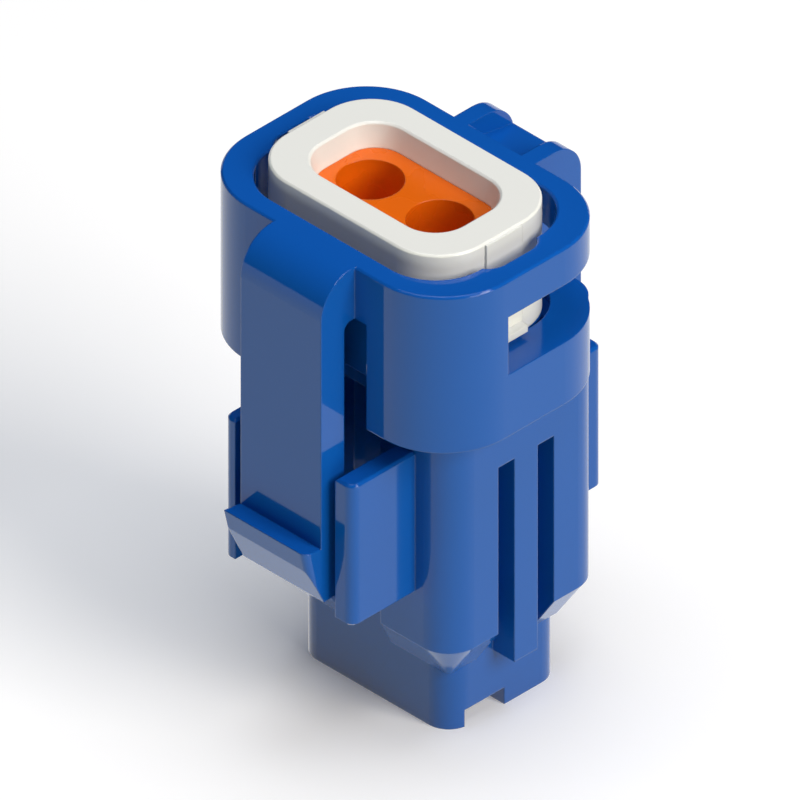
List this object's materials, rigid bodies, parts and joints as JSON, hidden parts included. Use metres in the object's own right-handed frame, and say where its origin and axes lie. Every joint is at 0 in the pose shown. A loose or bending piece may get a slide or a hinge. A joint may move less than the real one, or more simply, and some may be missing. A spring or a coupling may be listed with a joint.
{
  "type": "wire-to-wire connector",
  "caption": "Sealed two-way wire-to-wire connector half with a hooded mating face, side latch, guard wings, seal retainer and face seal.",
  "frame": {"origin": "midway between the two contact axes, on the plane of the wire end that the part stands on", "axes": "+Z out of the mating face, along the contacts; +X along the row of two contacts; the latch is on the -Y side"},
  "size_m": [0.0222, 0.0239, 0.0371],
  "materials": {
    "blue_housing": "glossy moulded blue plastic",
    "white_retainer": "satin white plastic",
    "orange_seal": "smooth orange silicone rubber",
    "contact_metal": "plated copper alloy"
  },
  "bodies": {
    "root": {"housing": "blue_housing", "seal_retainer": "white_retainer", "face_seal": "orange_seal", "socket_contact_left": "contact_metal", "socket_contact_right": "contact_metal"}
  },
  "joints": []
}
